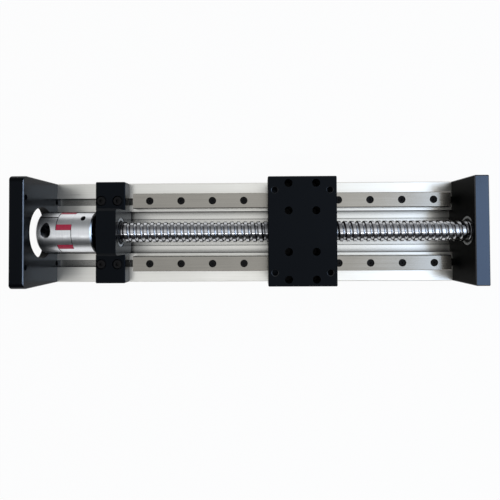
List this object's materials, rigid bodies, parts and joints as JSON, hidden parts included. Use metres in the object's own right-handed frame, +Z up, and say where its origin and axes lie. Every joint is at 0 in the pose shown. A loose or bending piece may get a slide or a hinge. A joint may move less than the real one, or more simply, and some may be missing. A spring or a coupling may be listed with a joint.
{
  "type": "ball screw linear module",
  "caption": "Ball screw linear module: a carriage on two profile rails is driven along an aluminium base by a screw with a jaw coupling and a motor plate.",
  "frame": {"origin": "underside of the base, at the middle of the bounding box", "axes": "+X along the screw from the motor plate to the end plate, +Y across the base, +Z up"},
  "size_m": [0.341, 0.08, 0.0742],
  "materials": {
    "base_aluminium": "satin, clear anodised extrusion",
    "black_anodised": "satin black anodised aluminium",
    "black_oxide_steel": "black oxide",
    "rail_steel": "ground",
    "zinc_steel": "zinc plated",
    "bearing_steel": "polished",
    "seal_rubber": "matte",
    "screw_steel": "ground and polished thread",
    "coupling_aluminium": "fine turned",
    "spider_polyurethane": "moulded, slightly glossy",
    "ground_steel": "ground",
    "black_plastic": "moulded",
    "brass": "turned"
  },
  "bodies": {
    "base": {"base_profile": "base_aluminium", "motor_plate": "black_anodised", "end_plate": "black_anodised", "motor_plate_screws": "black_oxide_steel", "end_plate_screws": "black_oxide_steel", "rail_front": "rail_steel", "rail_back": "rail_steel", "rail_front_screws": "black_oxide_steel", "rail_back_screws": "black_oxide_steel", "rail_front_nut_strip": "zinc_steel", "rail_back_nut_strip": "zinc_steel", "bearing_housing": "black_anodised", "housing_screws": "black_oxide_steel", "housing_slot_nuts": "zinc_steel", "fixed_bearing_outer_rings": "bearing_steel", "fixed_bearing_shields": "seal_rubber", "end_bearing_outer_ring": "bearing_steel", "end_bearing_shields": "seal_rubber"},
    "screw": {"ball_screw": "screw_steel", "fixed_bearing_inner_rings": "bearing_steel", "fixed_bearing_balls": "bearing_steel", "lock_nut": "black_oxide_steel", "end_bearing_inner_ring": "bearing_steel", "end_bearing_balls": "bearing_steel", "end_circlip": "black_oxide_steel", "coupling_screw_hub": "coupling_aluminium", "coupling_spider": "spider_polyurethane", "coupling_motor_hub": "coupling_aluminium", "coupling_clamp_screws": "black_oxide_steel"},
    "carriage": {"carriage_body": "black_anodised", "ball_nut": "ground_steel", "nut_wipers": "black_plastic", "nut_set_screws": "black_oxide_steel", "rail_block_front": "ground_steel", "rail_block_back": "ground_steel", "block_end_caps_front": "black_plastic", "block_end_caps_back": "black_plastic", "block_end_seals_front": "seal_rubber", "block_end_seals_back": "seal_rubber", "block_screws": "black_oxide_steel", "grease_nipples": "brass"}
  },
  "joints": [
    {"name": "screw_spin", "type": "hinge", "parent": "base", "child": "screw", "pos_m": [0, 0, 0.046], "axis": [1, 0, 0], "range_deg": [-6804.5, 7596.5]},
    {"name": "carriage_slide", "type": "slide", "parent": "base", "child": "carriage", "axis": [1, 0, 0], "range_m": [-0.1055, 0.0945]}
  ],
  "couplings": [
    {"joint": "screw_spin", "follows": "carriage_slide", "rad_per_m": -1256.6}
  ]
}
